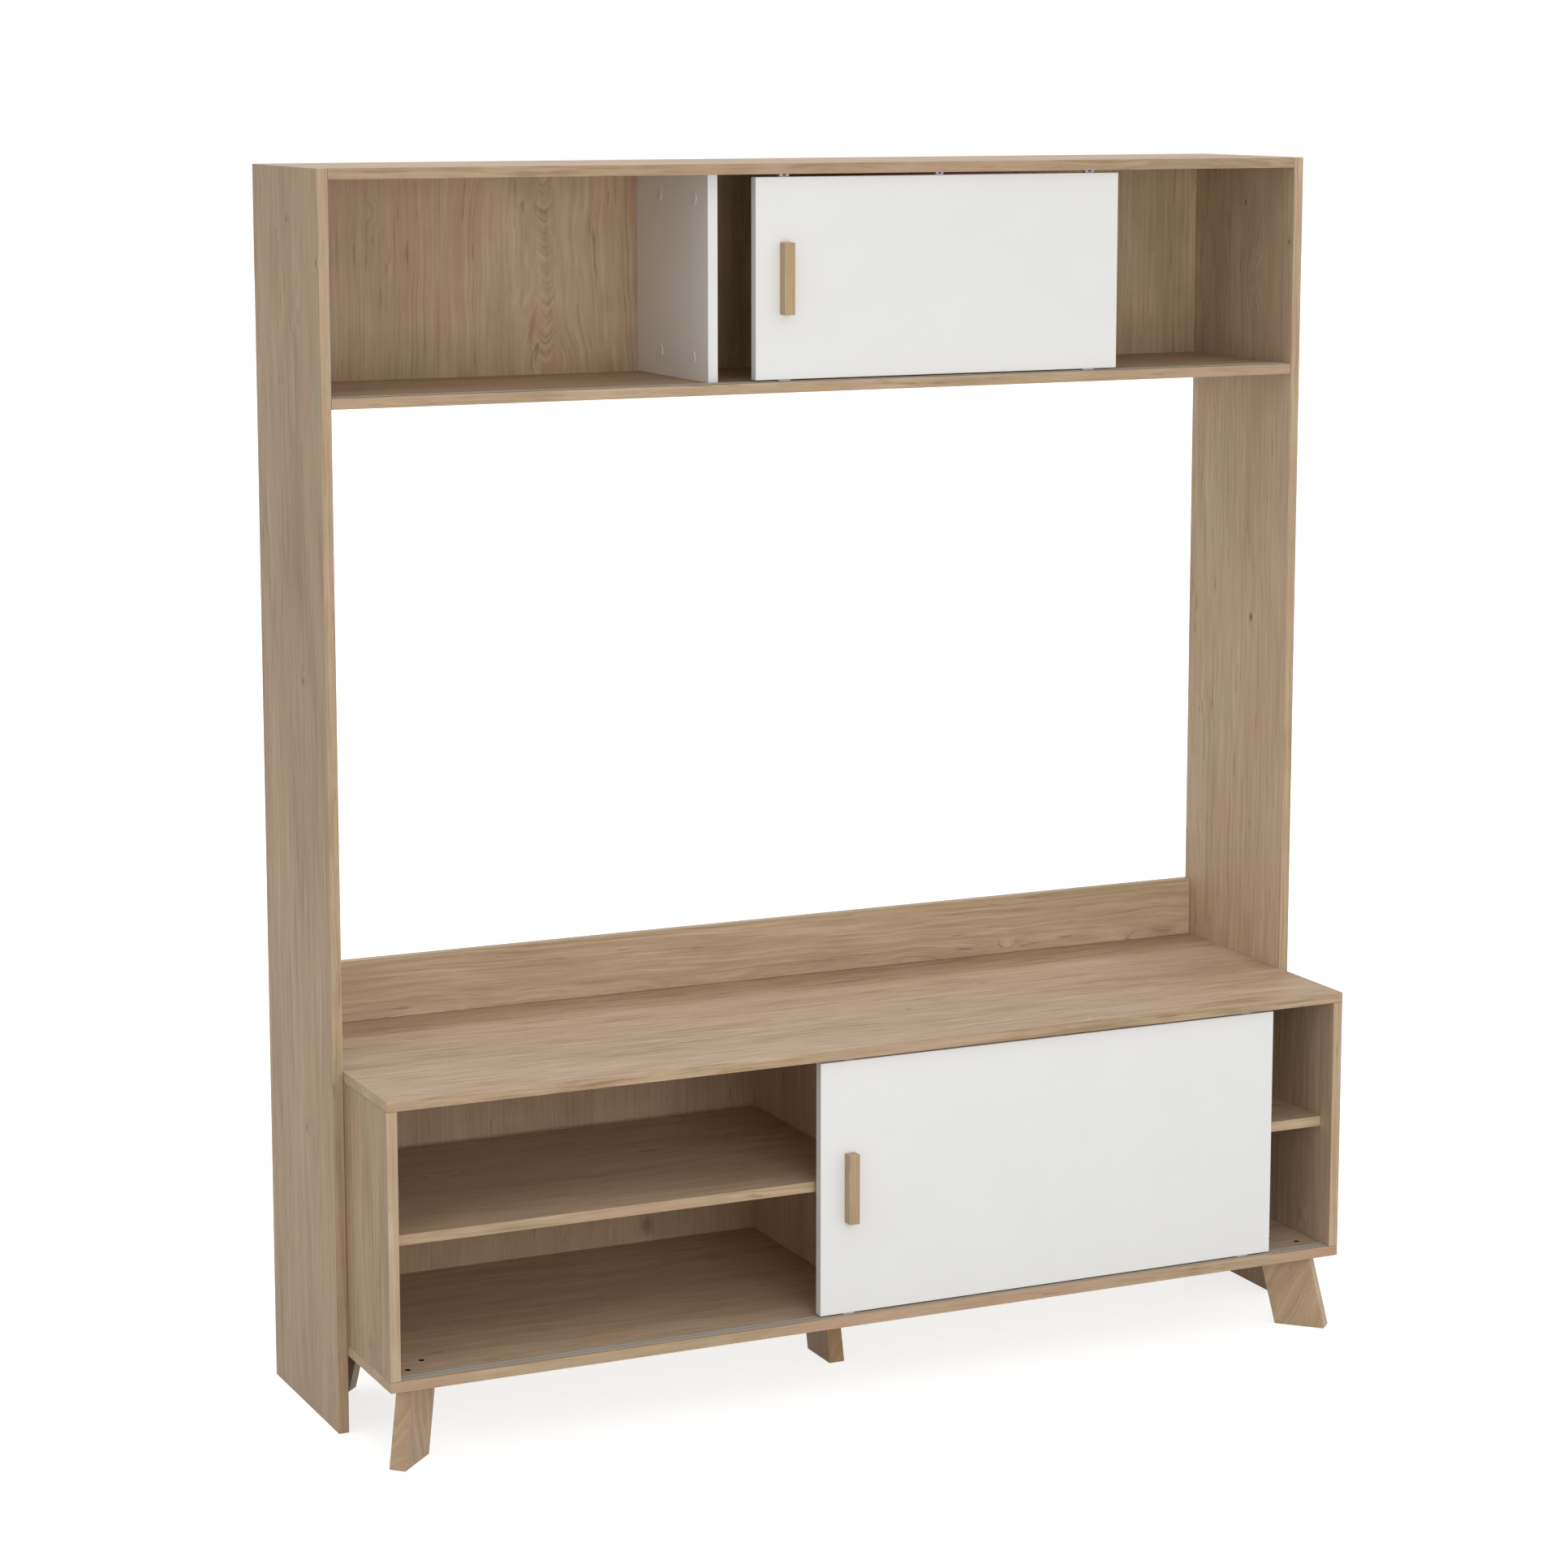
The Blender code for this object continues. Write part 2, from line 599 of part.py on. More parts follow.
def build_cabinet():
    """The whole cabinet, from the uprights inward."""
    clear_scene()
    decor = finish("hickory_decor", (0.46, 0.33, 0.21), 0.55)
    back = finish("back_decor", (0.40, 0.28, 0.18), 0.6)
    plastic = finish("track_plastic", (0.42, 0.43, 0.45), 0.4)
    finishes = {
        "white": finish("white_board", (0.78, 0.78, 0.76), 0.45),
        "glide": finish("glide_plastic", (0.70, 0.66, 0.74), 0.35),
        "handle": finish("handle_wood", (0.50, 0.36, 0.21), 0.5),
        "steel": finish("screw_steel", (0.55, 0.55, 0.55), 0.35, 1.0),
    }
    leg_wood = finish("leg_wood", (0.42, 0.30, 0.19), 0.55)
    build_uprights(decor)
    upper_shelf, top_panel = build_upper_row(decor, finishes["white"], back)
    build_rail(decor)
    bench = build_bench(decor, back)
    build_shelf_pins(bench, finishes["steel"])
    bench_row = (BENCH_FRONT_Y, BENCH_INNER_X - TOUCH_GAP, BENCH_BOTTOM_TOP_Z, BENCH_TOP_UNDERSIDE_Z)
    upper_row = (UPRIGHT_FRONT_Y, SPAN_X, UPPER_SHELF_TOP_Z, TOP_PANEL_UNDERSIDE_Z)
    build_tracks("lower", *bench_row, bench["bottom"], bench["top"], plastic)
    build_tracks("upper", *upper_row, upper_shelf, top_panel, plastic)
    lower_bay = (BENCH_FRONT_Y, BENCH_BOTTOM_TOP_Z, BENCH_BAY_HEIGHT)
    upper_bay = (UPRIGHT_FRONT_Y, UPPER_SHELF_TOP_Z, UPPER_ROW_HEIGHT)
    lower_x = BENCH_INNER_X - LOWER_DOOR_END_GAP - LOWER_DOOR_WIDTH / 2
    upper_x = SPAN_X - UPPER_DOOR_END_GAP - UPPER_DOOR_WIDTH / 2
    build_door("lower", lower_x, LOWER_DOOR_WIDTH, *lower_bay, False, finishes)
    build_door("upper", upper_x, UPPER_DOOR_WIDTH, *upper_bay, True, finishes)
    build_legs(bench["bottom"], leg_wood, finishes["steel"])


build_cabinet()
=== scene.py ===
import math

import bpy
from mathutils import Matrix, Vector


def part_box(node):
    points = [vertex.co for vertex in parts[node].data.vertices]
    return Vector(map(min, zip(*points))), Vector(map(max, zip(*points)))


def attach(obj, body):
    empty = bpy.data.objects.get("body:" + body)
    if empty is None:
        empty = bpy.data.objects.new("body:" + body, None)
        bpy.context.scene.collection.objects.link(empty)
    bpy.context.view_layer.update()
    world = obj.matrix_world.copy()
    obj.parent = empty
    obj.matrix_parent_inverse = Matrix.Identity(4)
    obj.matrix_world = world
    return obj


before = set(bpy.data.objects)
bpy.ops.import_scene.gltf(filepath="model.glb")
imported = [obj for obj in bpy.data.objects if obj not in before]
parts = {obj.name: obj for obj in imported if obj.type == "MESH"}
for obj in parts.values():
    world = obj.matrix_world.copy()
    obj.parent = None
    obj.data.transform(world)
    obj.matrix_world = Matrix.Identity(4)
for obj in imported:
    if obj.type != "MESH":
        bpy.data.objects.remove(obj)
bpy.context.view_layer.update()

# Uprights. Two full-height boards of chipboard, faced with a printed light hickory whose grain runs
# upwards. Only the front edge and the top end wear the thin edge band; the back edge and the foot are raw.
# Both are cut from the same print, so the small dark knots come at the same heights on the left and right.
BAND_THICKNESS = 0.0008
BAND_FADE = 0.0001
SEAM_WIDTH = 0.00022
ARRIS_WEAR = 0.0011
RAW_DEPTH = 0.0004
RAW_FADE = 0.00008
HOLE_SHADE_FADE = 0.0002
PRINT_GLOSS = 0.22
PRINT_ROUGHNESS = 0.52
PRINT_RELIEF = 0.00009
RING_WANDER = 0.05
RING_SHIVER = 0.004
KNOT_LENGTH_SHARE = 1.6
KNOT_PUSH_SHARE = 2.2
BAND_PRINT_SHIFT = 0.31

GRAIN_TONES = [(0.14, "93785a"), (0.38, "ad9477"), (0.58, "bba286"), (0.86, "cdb79c")]
PINK_TONE = "b8927c"
OLIVE_TONE = "a89775"
BAND_TONE = "c9b191"
FLECK_TONE = "785d44"
KNOT_TONE = "664c35"
SEAM_TONE = "725b44"
WORN_TONE = "cdb99f"
# Painted shade for the insides of screw holes.
HOLE_SHADE_TONE = "2c2018"


def paint(code):
    """A colour as it reads on screen, such as b69e84, as Blender's linear numbers."""
    shares = [int(code[i : i + 2], 16) / 255 for i in (0, 2, 4)]
    return tuple(s / 12.92 if s <= 0.04045 else ((s + 0.055) / 1.055) ** 2.4 for s in shares) + (1.0,)


class Finish:
    """The material of one piece, put together from shader nodes."""

    MIX_SHARE, MIX_UNDER, MIX_TOP, MIX_COLOUR = 0, 6, 7, 2

    def __init__(self, name):
        self.material = bpy.data.materials.new(name)
        self.material.use_nodes = True
        self.nodes = self.material.node_tree.nodes
        self.links = self.material.node_tree.links
        self.shader = self.nodes["Principled BSDF"]
        self.point = self.add("TexCoord", out="Object")

    def add(self, kind, *values, out=0, **settings):
        """A new node: values fill its sockets in order, numbers as they are and sockets as links."""
        node = self.nodes.new("ShaderNode" + kind)
        for key, value in settings.items():
            setattr(node, key, value)
        for socket, value in zip(node.inputs, values):
            self.fill(socket, value)
        return node.outputs[out]

    def fill(self, socket, value):
        if isinstance(value, bpy.types.NodeSocket):
            self.links.new(value, socket)
        elif value is not None:
            socket.default_value = value

    def math(self, operation, *values):
        return self.add("Math", *values, operation=operation)

    def total(self, first, *others):
        for other in others:
            first = self.math("ADD", first, other)
        return first

    def minus(self, value, taken):
        return self.math("SUBTRACT", value, taken)

    def times(self, value, factor):
        return self.math("MULTIPLY", value, factor)

    def join(self, x, y, z=0.0):
        return self.add("CombineXYZ", x, y, z)

    def split(self, place):
        return self.add("SeparateXYZ", place).node.outputs

    def length(self, place):
        return self.add("VectorMath", place, operation="LENGTH", out="Value")

    def stretch(self, place, scale, shift=(0.0, 0.0, 0.0)):
        return self.add("VectorMath", place, scale, shift, operation="MULTIPLY_ADD")

    def noise(self, place, scale=1.0, detail=2.0, rough=0.5):
        return self.add("TexNoise", place, None, scale, detail, rough)

    def streaks(self, distance, detail=3.0, rough=0.55):
        """Noise along one number, for stripes that follow it."""
        return self.add("TexNoise", None, distance, 1.0, detail, rough, noise_dimensions="1D")

    def swing(self, value, amount):
        """Noise about zero: its middle value of a half taken off, times an amount."""
        return self.times(self.minus(value, 0.5), amount)

    def rise(self, value, start, end, low=0.0, high=1.0):
        """A soft step from low to high as the value goes from start to end."""
        return self.add("MapRange", value, start, end, low, high, interpolation_type="SMOOTHSTEP")

    def ramp(self, value, stops):
        node = self.nodes.new("ShaderNodeValToRGB")
        while len(node.color_ramp.elements) < len(stops):
            node.color_ramp.elements.new(0.5)
        for element, (place, code) in zip(node.color_ramp.elements, stops):
            element.position = place
            element.color = paint(code)
        self.fill(node.inputs[0], value)
        return node.outputs[0]

    def over(self, share, under, top):
        """One colour laid over another by a share."""
        node = self.nodes.new("ShaderNodeMix")
        node.data_type = "RGBA"
        for index, value in ((self.MIX_SHARE, share), (self.MIX_UNDER, under), (self.MIX_TOP, top)):
            self.fill(node.inputs[index], value)
        return node.outputs[self.MIX_COLOUR]

    def relief(self, height, depth):
        """Height in the range nought to one as a bump of that depth in metres."""
        node = self.nodes.new("ShaderNodeBump")
        node.inputs["Distance"].default_value = depth
        self.fill(node.inputs["Height"], height)
        self.fill(self.shader.inputs["Normal"], node.outputs[0])

    def show(self, colour, rough, **constants):
        self.fill(self.shader.inputs["Base Color"], colour)
        self.fill(self.shader.inputs["Roughness"], rough)
        for key, value in constants.items():
            self.shader.inputs[key.replace("_", " ")].default_value = value

    def put_on(self, *names):
        for name in names:
            parts[name].material_slots[0].material = self.material


def face_distance(finish, part, faces):
    """How far a point is from the nearest of a board's named flat faces, such as y- or x+."""
    low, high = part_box(part)
    x_y_z = finish.split(finish.point)
    nearest = None
    for face in faces.split():
        axis = "xyz".index(face[0])
        place = (low if face[1] == "-" else high)[axis]
        away = finish.math("ABSOLUTE", finish.minus(x_y_z[axis], place))
        nearest = away if nearest is None else finish.math("MINIMUM", nearest, away)
    return nearest


def arris_distance(finish, part):
    """How far a point on a board's surface is from its nearest arris: the middle one of its distances
    from the board's three pairs of faces, because the least is that of the face it lies on."""
    sides = [face_distance(finish, part, pair) for pair in ("x- x+", "y- y+", "z- z+")]
    least = finish.math("MINIMUM", finish.math("MINIMUM", sides[0], sides[1]), sides[2])
    most = finish.math("MAXIMUM", finish.math("MAXIMUM", sides[0], sides[1]), sides[2])
    return finish.minus(finish.minus(finish.total(*sides), least), most)


def chipboard(finish):
    """The colour of a sawn chipboard edge: pale and dark flakes pressed together."""
    flakes = finish.add("TexVoronoi", finish.stretch(finish.point, (420.0, 420.0, 900.0)), out="Color")
    fines = finish.noise(finish.point, scale=1600.0, detail=2.0, rough=0.7)
    tone = finish.total(finish.times(finish.add("SeparateColor", flakes), 0.6), finish.times(fines, 0.5))
    return finish.ramp(tone, [(0.2, "7d6040"), (0.5, "ae8c62"), (0.8, "cdb188")])


class HickoryPrint(Finish):
    """The printed hickory of one board: growth rings cut lengthwise, with streaks laid along them."""

    def __init__(self, part, run, seed):
        super().__init__(part + "_hickory_print")
        self.x_y_z = self.split(self.point)
        self.across, self.through, self.along = (self.x_y_z["xyz".index(letter)] for letter in run)
        self.place = self.join(self.across, self.through, self.along)
        self.seed = seed
        self.shift = (seed * 1.7, seed * 0.9, seed * 2.3)
        self.wander = self.layer(self.place, (3.0, 3.0, 0.9))
        self.shiver = self.layer(self.place, (34.0, 34.0, 7.0))

    def layer(self, place, per_metre, detail=2.0, rough=0.5, other=False):
        """Noise that changes so often per metre; other takes it from another part of the print."""
        shift = self.shift[::-1] if other else self.shift
        return self.noise(self.stretch(place, per_metre, shift), 1.0, detail, rough)

    def stripes(self, rings, per_metre, cut, detail=1.0, rough=0.55):
        """So many stripes per metre of growth rings; cut says which part of the print they come from."""
        return self.streaks(self.total(self.times(rings, per_metre), self.seed * cut), detail, rough)

    def growth_rings(self, pith, curl, lean):
        """The distance from the tree's middle, which wanders, waves and shivers a little."""
        wave_size, waves_per_metre = curl
        wave = self.layer(self.place, (6.0, 6.0, waves_per_metre), detail=1.0)
        off_middle = self.total(self.across, -pith[0], self.swing(self.wander, RING_WANDER))
        behind = self.total(self.times(self.along, lean), pith[1], self.swing(wave, 2 * wave_size))
        return self.total(self.length(self.join(off_middle, behind)), self.swing(self.shiver, RING_SHIVER))

    def knots(self, rings, knots):
        """The rings pushed aside round each knot, and how dark the knots' hearts are."""
        heart = None
        for knot_across, knot_along, radius, dark in knots:
            off = self.math("DIVIDE", self.minus(self.across, knot_across), radius)
            up = self.math("DIVIDE", self.minus(self.along, knot_along), radius * KNOT_LENGTH_SHARE)
            reach = self.total(self.length(self.join(off, up)), self.swing(self.shiver, 1.4))
            rings = self.total(rings, self.times(self.rise(reach, 5.0, 0.4), radius * KNOT_PUSH_SHARE))
            core = self.times(self.rise(reach, 1.5, 0.2), dark)
            heart = core if heart is None else self.math("MAXIMUM", heart, core)
        return rings, heart

    def flame_curls(self, flame, patch):
        """A chain of small curls, one above the other, as where a branch starts behind the surface."""
        middle, half_width, step = flame
        side = self.math("DIVIDE", self.minus(self.across, middle), half_width)
        side = self.total(side, self.swing(self.wander, 1.0), self.swing(self.shiver, 1.1))
        side = self.math("ABSOLUTE", side)
        hang = self.times(self.math("POWER", side, 1.5), -1.7)
        climb = self.total(self.math("DIVIDE", self.along, step), hang, self.swing(patch, 5.0))
        near = self.times(self.rise(side, 1.3, 0.3), self.rise(self.shiver, 0.25, 0.6, 0.35, 1.0))
        return self.times(near, self.swing(self.streaks(climb, 2.0, 0.6), 1.25))


def hickory_board(
    part,
    run,
    pith,
    seed,
    banded,
    raw,
    knots=(),
    curl=(0.012, 9.0),
    lean=0.03,
    contrast=1.0,
    light=0.0,
    edge=0.0,
    tint=0.55,
    dash=5.0,
    bare=chipboard,
    flame=None,
    holes=(),
):
    """Printed hickory for one board.

    run: the axes across, through and along the grain.
    pith: where the middle of the tree would be, across and behind the board.
    seed: which part of the print the board is cut from.
    banded, raw: the faces that wear the edge band, and the faces left bare, coloured by the function bare.
    knots: each one's place across and along the grain, its radius and how dark it is.
    curl, lean: how much and how often the growth rings wave, and how fast they run out of the board.
    contrast, light, edge: how strong the grain is, and how much paler or darker the face and its band are
    painted on this board, as painted light and shade.
    tint: how far the pink and olive clouds show.
    dash: how many streaks follow one another in a metre.
    flame: a chain of small curls, as its place across, its half width and the step from curl to curl.
    holes: screw holes in a lying board, as x, y and radius, painted dark inside as painted shade.
    """
    grain = HickoryPrint(part, run, seed)
    swing, times, total, rise = grain.swing, grain.times, grain.total, grain.rise
    away = face_distance(grain, part, banded)
    band = rise(away, BAND_THICKNESS + BAND_FADE, BAND_THICKNESS)
    sawn = rise(face_distance(grain, part, raw), RAW_DEPTH + RAW_FADE, RAW_DEPTH)

    rings, heart = grain.knots(grain.growth_rings(pith, curl, lean), knots)
    rings = total(rings, times(band, total(grain.through, BAND_PRINT_SHIFT)))
    sheet = grain.join(rings, grain.across, grain.along)
    streak = grain.layer(sheet, (180.0, 80.0, dash), detail=5.0, rough=0.70)
    fading = grain.layer(sheet, (30.0, 30.0, dash))
    patch = grain.layer(grain.place, (8.0, 8.0, 1.7), detail=3.0)
    fibre = grain.layer(grain.place, (760.0, 760.0, 30.0), rough=0.6)
    fleck = rise(grain.layer(sheet, (170.0, 70.0, 14.0), other=True), 0.65, 0.76)
    blush = grain.layer(sheet, (16.0, 16.0, 3.4), detail=4.0, rough=0.62, other=True)
    hairline = times(rise(grain.stripes(rings, 340.0, 5.3), 0.60, 0.72), rise(fading, 0.44, 0.62))

    tone = total(
        swing(grain.stripes(rings, 230.0, 3.1, detail=3.0, rough=0.6), 0.32),
        swing(streak, 1.05),
        swing(grain.stripes(rings, 15.0, 1.3), 0.16),
        swing(patch, 0.45),
        swing(fading, 0.35),
    )
    if flame is not None:
        tone = total(tone, grain.flame_curls(flame, patch))
    tone = times(total(tone, swing(fibre, 0.25)), contrast)
    mottle = times(band, swing(grain.layer(grain.place, (20.0, 20.0, 13.0)), 0.45))
    # Painted light and shade: light makes the face paler or darker, and edge does the same for its band.
    tone = total(tone, mottle, times(band, edge - light), 0.5 + light)

    colour = grain.ramp(tone, GRAIN_TONES)
    layers = [
        (rise(blush, 0.50, 0.66, 0.0, 0.6 * tint), PINK_TONE),
        (rise(blush, 0.50, 0.34, 0.0, 0.55 * tint), OLIVE_TONE),
        (times(band, 0.12), BAND_TONE),
        (times(hairline, 0.32), FLECK_TONE),
        (times(fleck, 0.45), FLECK_TONE),
    ]
    if heart is not None:
        layers.append((heart, KNOT_TONE))
    seam = rise(grain.math("ABSOLUTE", grain.minus(away, BAND_THICKNESS)), SEAM_WIDTH, 0.0)
    rubbed = times(rise(arris_distance(grain, part), ARRIS_WEAR, 0.0), rise(grain.shiver, 0.42, 0.64))
    layers += [(times(seam, 0.5), SEAM_TONE), (times(rubbed, 0.25), WORN_TONE)]
    for share, code in layers:
        colour = grain.over(share, colour, paint(code))
    colour = grain.over(sawn, colour, bare(grain))
    x, y, _ = grain.x_y_z
    # Painted shade: each screw hole is painted dark inside.
    for hole_x, hole_y, radius in holes:
        reach = grain.length(grain.join(grain.minus(x, hole_x), grain.minus(y, hole_y)))
        colour = grain.over(rise(reach, radius + HOLE_SHADE_FADE, radius), colour, paint(HOLE_SHADE_TONE))

    dull = total(swing(fibre, 0.14), times(fleck, 0.10), times(sawn, 0.3), PRINT_ROUGHNESS)
    grain.show(colour, dull, Specular_IOR_Level=PRINT_GLOSS)
    height = total(times(streak, 0.5), times(fibre, 0.5))
    grain.relief(grain.minus(height, times(fleck, 0.4)), PRINT_RELIEF)
    grain.put_on(part)


UPRIGHT_KNOTS = [
    (0.0531, 1.078, 0.0042, 0.80),
    (0.0899, 1.7275, 0.0034, 0.70),
    (-0.0384, 1.671, 0.0032, 0.70),
    (0.065, 1.612, 0.0085, 0.16),
    (0.071, 0.424, 0.0035, 0.60),
]
# Painted light and shade: the left upright is painted darker and the right one paler.
for upright, light in (("left_upright", -0.11), ("right_upright", 0.19)):
    hickory_board(
        upright, run="yxz", pith=(0.30, 0.11), seed=1.0, banded="y- z+", raw="y+ z-",
        knots=UPRIGHT_KNOTS, lean=0.02, light=light,
    )

# Upper row. A top board and a shelf of the same faced chipboard lie between the uprights, grain from side
# to side. A thin fibreboard panel closes the back, printed in front with the grain upwards and one chain
# of curls in it, and bare brown behind.
# Painted shade: the front band of the top board is painted darker.
hickory_board(
    "upper_top_panel", run="yzx", pith=(0.02, 0.05), seed=6.0, banded="y-", raw="y+ x- x+",
    curl=(0.02, 5.0), edge=-0.13, dash=8.0,
)
UPPER_SHELF_KNOTS = [(0.0559, -0.3553, 0.004, 0.3), (0.1522, -0.636, 0.004, 0.3)]
# Painted shade: the front band of the shelf is painted a little darker.
hickory_board(
    "upper_shelf", run="yzx", pith=(0.10, 0.06), seed=11.0, banded="y-", raw="y+ x- x+",
    knots=UPPER_SHELF_KNOTS, edge=-0.05, dash=8.0,
)


def fibreboard(finish):
    """The bare back of a thin fibreboard panel: brown, faintly clouded and speckled with fine fibres."""
    cloud = finish.noise(finish.point, scale=7.0, detail=3.0, rough=0.6)
    speck = finish.noise(finish.point, scale=260.0, detail=4.0, rough=0.75)
    threads = finish.noise(finish.stretch(finish.point, (150.0, 150.0, 700.0)), rough=0.6)
    thread_tone = finish.times(finish.rise(threads, 0.60, 0.72), -0.3)
    tone = finish.total(finish.swing(cloud, 0.22), finish.swing(speck, 1.2), thread_tone, 0.5)
    return finish.ramp(tone, [(0.15, "6f5840"), (0.5, "8b7154"), (0.85, "a38a6b")])


hickory_board(
    "upper_back_panel", run="xyz", pith=(-0.340, 0.060), seed=3.0, banded="y-", raw="y+ x- x+ z- z+",
    knots=[(-0.6112, 1.7285, 0.0035, 0.06)], contrast=0.95, light=-0.20, tint=0.85,
    bare=fibreboard, flame=(-0.340, 0.016, 0.0095),
)

# Upper divider. A white melamine board stands between top and shelf, left of the door. Its front edge is
# banded in the same white, and four round plastic covers hide the cam fittings on its left face.
WHITE_TONES = [(0.2, "e7e7e6"), (0.8, "ececeb")]
WHITE_BAND_TONE = "e7e7e6"
WHITE_SEAM_TONE = "b4b2ae"
WHITE_WORN_TONE = "d6d4cf"
COVER_RADIUS = 0.0095
COVER_RISE = 0.0011
COVER_PLACES = [(0.1535, 1.7510), (0.0255, 1.7490), (0.1515, 1.5210), (0.0315, 1.5185)]


def white_board(part, banded):
    """White melamine: a matt skin with a very fine pearl, banded in the same white on its edges."""
    finish = Finish(part + "_white_melamine")
    pearl = finish.noise(finish.point, scale=620.0, detail=3.0, rough=0.6)
    cloud = finish.noise(finish.point, scale=9.0)
    colour = finish.ramp(finish.total(finish.swing(cloud, 0.6), finish.swing(pearl, 0.3), 0.5), WHITE_TONES)
    away = face_distance(finish, part, banded)
    band = finish.rise(away, BAND_THICKNESS + BAND_FADE, BAND_THICKNESS)
    seam = finish.rise(finish.math("ABSOLUTE", finish.minus(away, BAND_THICKNESS)), SEAM_WIDTH, 0.0)
    rubbed = finish.times(
        finish.rise(arris_distance(finish, part), ARRIS_WEAR, 0.0), finish.rise(cloud, 0.45, 0.65)
    )
    colour = finish.over(band, colour, paint(WHITE_BAND_TONE))
    colour = finish.over(finish.times(seam, 0.35), colour, paint(WHITE_SEAM_TONE))
    colour = finish.over(finish.times(rubbed, 0.25), colour, paint(WHITE_WORN_TONE))
    dull = finish.total(finish.swing(pearl, 0.12), finish.swing(cloud, 0.06), 0.40)
    finish.show(colour, dull, Specular_IOR_Level=0.45)
    finish.relief(pearl, 0.00002)
    finish.put_on(part)


def turned_mesh(name, outline, steps=40):
    """A closed round mesh about x, from an outline of distances out of the face and radii. The outline
    starts and ends on the axis."""
    points = [(outline[0][0], 0.0, 0.0)]
    for out, radius in outline[1:-1]:
        for step in range(steps):
            angle = 2 * math.pi * step / steps
            points.append((out, radius * math.cos(angle), radius * math.sin(angle)))
    points.append((outline[-1][0], 0.0, 0.0))

    faces = []
    last_point = len(points) - 1
    last_ring = 1 + (len(outline) - 3) * steps
    for step in range(steps):
        after = (step + 1) % steps
        faces.append((0, 1 + after, 1 + step))
        for ring in range(1, last_ring, steps):
            faces.append((ring + step, ring + after, ring + steps + after, ring + steps + step))
        faces.append((last_ring + step, last_ring + after, last_point))
    mesh = bpy.data.meshes.new(name)
    mesh.from_pydata(points, [], faces)
    mesh.update()
    for polygon in mesh.polygons:
        polygon.use_smooth = True
    return mesh


white_board("upper_divider", "y-")
cover_plastic = Finish("cam_cover_plastic")
cover_grain = cover_plastic.noise(cover_plastic.point, scale=700.0, detail=3.0)
cover_plastic.show(
    cover_plastic.ramp(cover_grain, [(0.3, "e1dfdc"), (0.7, "e8e7e4")]),
    cover_plastic.rise(cover_grain, 0.3, 0.7, 0.30, 0.42),
)
cover_plastic.relief(cover_grain, 0.00002)
cover_outline = [
    (0.0, 0.0),
    (0.0, COVER_RADIUS),
    (-COVER_RISE * 0.5, COVER_RADIUS),
    (-COVER_RISE * 0.9, COVER_RADIUS - COVER_RISE * 0.22),
    (-COVER_RISE, COVER_RADIUS - COVER_RISE * 0.7),
    (-COVER_RISE * 0.82, COVER_RADIUS - COVER_RISE * 1.5),
    (-COVER_RISE * 0.7, COVER_RADIUS * 0.45),
    (-COVER_RISE * 0.68, 0.0),
]
cover_mesh = turned_mesh("cam_cover", cover_outline)
cover_mesh.materials.append(cover_plastic.material)
divider_left_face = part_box("upper_divider")[0].x
for number, (cover_y, cover_z) in enumerate(COVER_PLACES, 1):
    cover = bpy.data.objects.new(f"divider_cam_cover_{number}", cover_mesh)
    bpy.context.scene.collection.objects.link(cover)
    cover.location = (divider_left_face, cover_y, cover_z)
    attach(cover, "cabinet")

# Back rail. A board on edge joins the uprights behind the bench top, with its grain from side to side.
# Only its top edge is banded, because its ends and its foot are hidden.
# Painted light: the rail is painted a little paler.
hickory_board(
    "back_rail", run="zyx", pith=(0.53, 0.02), seed=17.0, banded="z+", raw="z- x- x+",
    knots=[(0.545, 0.435, 0.0042, 0.0)], curl=(0.018, 7.0), contrast=1.15, light=0.10,
)

# Bench. Bottom, two sides, a middle divider and a long top of the same faced chipboard, dowelled together
# and pushed forward of the uprights, with a printed fibreboard back. The top and the bottom are banded at
# their ends as in front. Holes in the bottom lead down to the screws of the legs, and are painted dark
# inside as painted shade.
HOLE_SHADE_MARGIN = 0.0008
LEG_SCREW_HOLE_SHADES = []
for name in sorted(parts):
    if "_leg_screw_" in name:
        low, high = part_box(name)
        middle = (low + high) / 2
        LEG_SCREW_HOLE_SHADES.append((middle.x, middle.y, (high.x - low.x) / 2 + HOLE_SHADE_MARGIN))
# Painted light: the bench bottom is painted paler.
hickory_board(
    "bench_bottom", run="yzx", pith=(0.12, 0.05), seed=23.0, banded="y- x- x+", raw="y+",
    knots=[(-0.04, -0.12, 0.004, 0.3)], holes=LEG_SCREW_HOLE_SHADES,
    curl=(0.03, 6.0), lean=0.07, contrast=0.85, light=0.16, tint=0.95, dash=6.5,
)
BENCH_SIDE_KNOTS = [(-0.1490, 0.1614, 0.0055, 0.35), (0.05, 0.33, 0.0035, 0.3)]
# Painted light and shade: the left side is painted darker and the right side paler.
for bench_side, light in (("bench_left_side", -0.20), ("bench_right_side", 0.12)):
    hickory_board(
        bench_side, run="yxz", pith=(0.22, 0.09), seed=29.0, banded="y-", raw="y+ z- z+",
        knots=BENCH_SIDE_KNOTS, light=light,
    )
# Painted light: the bench divider is painted paler.
hickory_board(
    "bench_divider", run="yxz", pith=(-0.25, 0.12), seed=31.0, banded="y-", raw="y+ z- z+", light=0.25
)
BENCH_TOP_KNOTS = [
    (-0.2105, 0.3514, 0.0035, 0.40),
    (-0.0479, 0.1214, 0.0030, 0.35),
    (0.0539, 0.3022, 0.0035, 0.35),
]
